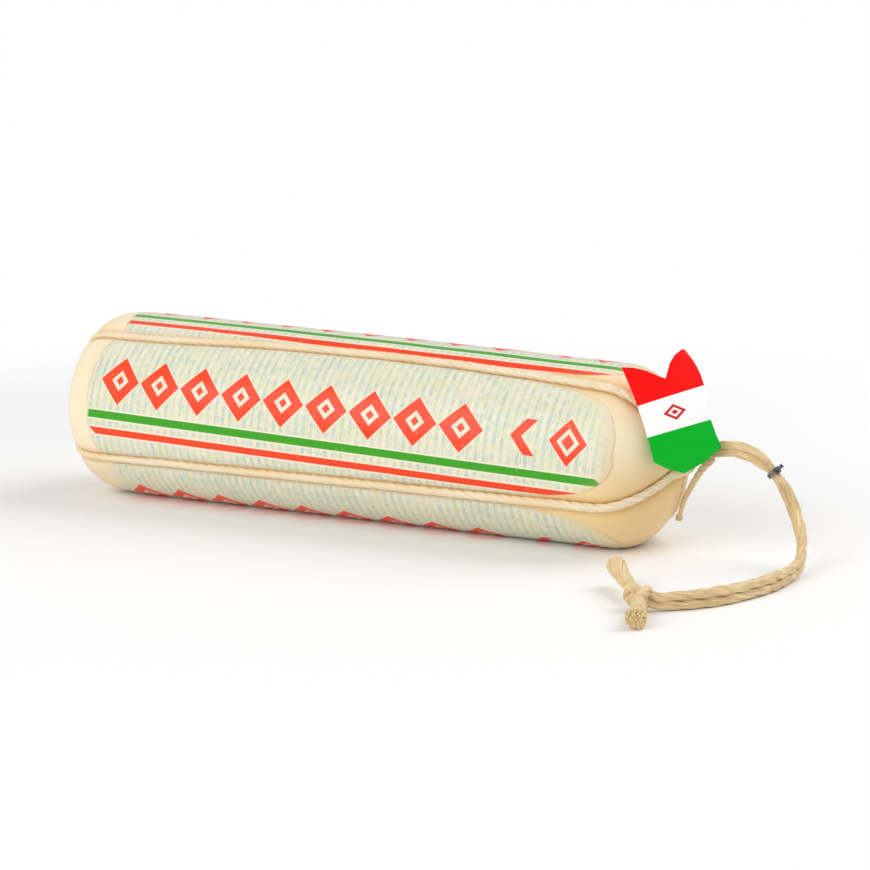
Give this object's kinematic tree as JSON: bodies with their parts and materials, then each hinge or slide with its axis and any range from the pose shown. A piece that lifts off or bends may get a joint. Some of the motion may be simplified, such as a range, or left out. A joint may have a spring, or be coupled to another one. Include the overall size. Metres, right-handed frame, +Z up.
{
  "type": "provolone cheese",
  "caption": "Waxed cylindrical cheese lying on its side, bound lengthwise with twine, with printed film panels, a hanging rope and a small card tag.",
  "frame": {"origin": "on the surface that the cheese rests on, under the middle of the cheese", "axes": "+X along the cheese from its butt to its neck, where the rope is; +Z up; the front with the full print faces -Y"},
  "size_m": [0.3201, 0.1461, 0.0756],
  "materials": {
    "cheese_rind": "waxed cheese rind, soft uneven gloss",
    "printed_film": "thin clear film over the rind with pale print and red and green bands",
    "waxed_twine": "twisted twine soaked with wax",
    "sisal_rope": "dry twisted sisal twine",
    "clip_wire": "dark steel wire",
    "tag_card": "glossy coated card in red, white and green fields"
  },
  "bodies": {
    "root": {"cheese": "cheese_rind", "film_front": "printed_film", "film_under": "printed_film", "film_back": "printed_film", "film_top": "printed_film", "twine_loop_inner": "waxed_twine", "twine_loop_outer": "waxed_twine", "rope_bundle": "sisal_rope", "rope_leg": "sisal_rope", "rope_knot": "sisal_rope", "rope_hitch": "sisal_rope", "leg_hitch": "sisal_rope", "rope_tail_long": "sisal_rope", "rope_tail_short": "sisal_rope", "wire_clip": "clip_wire", "card_tag": "tag_card"}
  },
  "joints": []
}
